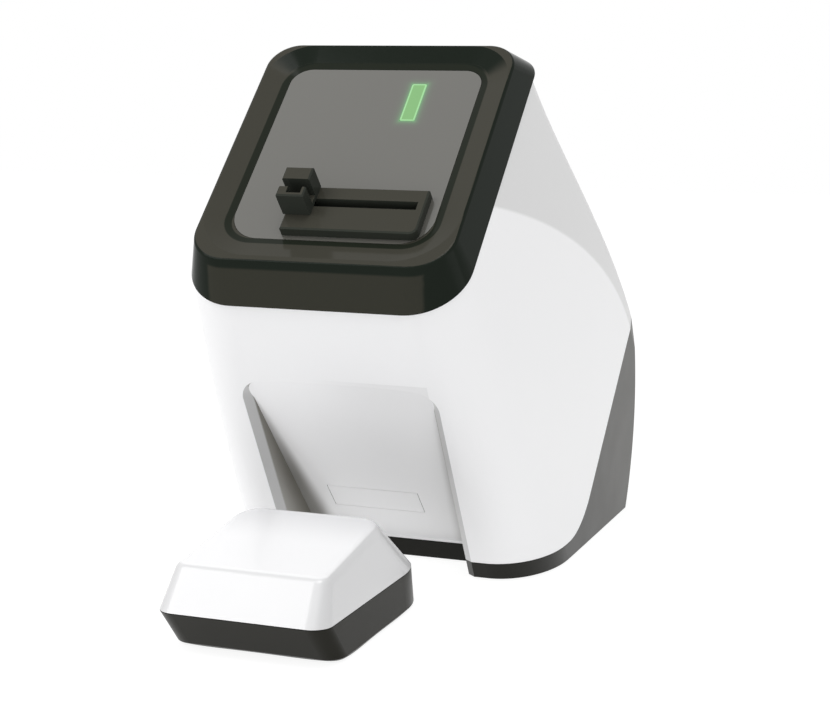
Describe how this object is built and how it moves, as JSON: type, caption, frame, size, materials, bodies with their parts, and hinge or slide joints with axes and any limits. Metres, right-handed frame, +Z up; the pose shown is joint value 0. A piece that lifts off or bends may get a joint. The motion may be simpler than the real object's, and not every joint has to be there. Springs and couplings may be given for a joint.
{
  "type": "phosphor plate scanner",
  "caption": "Bench-top reader for dental imaging plates: sloping dark front with plate slot, sliding guide and status light, white shell, front bay and pull-out collector box.",
  "frame": {"origin": "on the table, on the machine's middle plane, straight below the lower edge of the front window", "axes": "+X to the right of a person facing the machine, +Y to its back, +Z up"},
  "size_m": [0.1526, 0.3273, 0.2351],
  "materials": {
    "shell_white": "smooth satin gloss",
    "base_grey": "fine satin grain",
    "bezel_black": "polished piano black",
    "window_smoke": "smoked, polished, backed dark",
    "light_green": "clear green moulding",
    "circuit_green": "solder mask",
    "chip_black": "moulded",
    "sheet_steel": "zinc plated",
    "ground_steel": "ground",
    "screw_steel": "plated",
    "bronze": "sintered bronze",
    "black_acetal": "moulded",
    "white_acetal": "moulded",
    "brush_fibre": "dense pile",
    "motor_metal": "brushed",
    "mirror_face": "polished",
    "lens_glass": "clear polished",
    "tube_glass": "clear",
    "can_metal": "bare",
    "foot_rubber": "matte",
    "foam_grey": "open foam",
    "lid_white": "smooth gloss"
  },
  "bodies": {
    "machine": {"main_shell": "shell_white", "base_housing": "base_grey", "bezel": "bezel_black", "window_panel": "window_smoke", "status_light": "light_green", "status_led_board": "circuit_green", "slot_platform": "bezel_black", "guide_rail": "black_acetal", "entry_guide": "black_acetal", "light_seals": "brush_fibre", "upper_end_plate": "sheet_steel", "lower_end_plate": "sheet_steel", "left_side_plate": "sheet_steel", "right_side_plate": "sheet_steel", "frame_screws": "screw_steel", "guide_rods": "ground_steel", "rod_clips": "screw_steel", "screw_bearings": "bronze", "plate_bed": "sheet_steel", "motor_bracket": "sheet_steel", "stepper_motor": "motor_metal", "home_sensor": "chip_black", "optics_bench": "sheet_steel", "laser_mount": "can_metal", "laser_module": "bronze", "laser_board": "circuit_green", "mirror_motor": "motor_metal", "scan_lens": "lens_glass", "lens_clamps": "sheet_steel", "light_guide": "lens_glass", "detector_tube": "tube_glass", "detector_shield": "can_metal", "detector_shelf": "sheet_steel", "eraser_board": "circuit_green", "eraser_strip": "sheet_steel", "exit_chute": "black_acetal", "main_board": "circuit_green", "board_chips": "chip_black", "board_support": "sheet_steel", "board_screws": "screw_steel", "connector_plate": "black_acetal", "power_inlet": "chip_black", "network_port": "chip_black", "switch_frame": "chip_black", "base_screws": "screw_steel", "rubber_feet": "foot_rubber"},
    "collector": {"collector_base": "base_grey", "collector_lid": "lid_white", "collector_pad": "foam_grey"},
    "side_guide": {"plate_guide": "bezel_black", "guide_foot": "black_acetal"},
    "push_carriage": {"carriage": "black_acetal", "carriage_nut": "white_acetal", "carriage_bushes": "bronze"},
    "drive_screw": {"lead_screw": "ground_steel", "motor_coupler": "can_metal", "motor_shaft": "ground_steel"},
    "mirror": {"polygon_mirror": "mirror_face"},
    "rocker": {"power_rocker": "chip_black"},
    "flap": {"exit_flap": "shell_white"}
  },
  "joints": [
    {"name": "collector_slide", "type": "slide", "parent": "machine", "child": "collector", "axis": [0, 1, 0], "range_m": [0, 0.054]},
    {"name": "guide_slide", "type": "slide", "parent": "machine", "child": "side_guide", "axis": [1, 0, 0], "range_m": [0, 0.022]},
    {"name": "carriage_travel", "type": "slide", "parent": "machine", "child": "push_carriage", "axis": [0, 0.6909, -0.723], "range_m": [0, 0.08]},
    {"name": "screw_turn", "type": "hinge", "parent": "machine", "child": "drive_screw", "pos_m": [-0.029, 0.04507, 0.11468], "axis": [0, 0.6909, -0.723], "range_deg": [0, 7200]},
    {"name": "mirror_spin", "type": "hinge", "parent": "machine", "child": "mirror", "pos_m": [0.0175, 0.10705, 0.16561], "axis": [0, -0.6909, 0.723], "continuous": true},
    {"name": "flap_swing", "type": "hinge", "parent": "machine", "child": "flap", "pos_m": [-0.004, 0.06621, 0.03668], "axis": [-1, 0, 0], "range_deg": [0, 25], "stiffness_Nm_per_rad": 0.0008, "springref_deg": -22.92},
    {"name": "rocker_tip", "type": "hinge", "parent": "machine", "child": "rocker", "pos_m": [0.0235, 0.2235, 0.032], "axis": [1, 0, 0], "range_deg": [0, 18]}
  ],
  "couplings": [
    {"joint": "screw_turn", "follows": "carriage_travel", "rad_per_m": 1570.8}
  ]
}
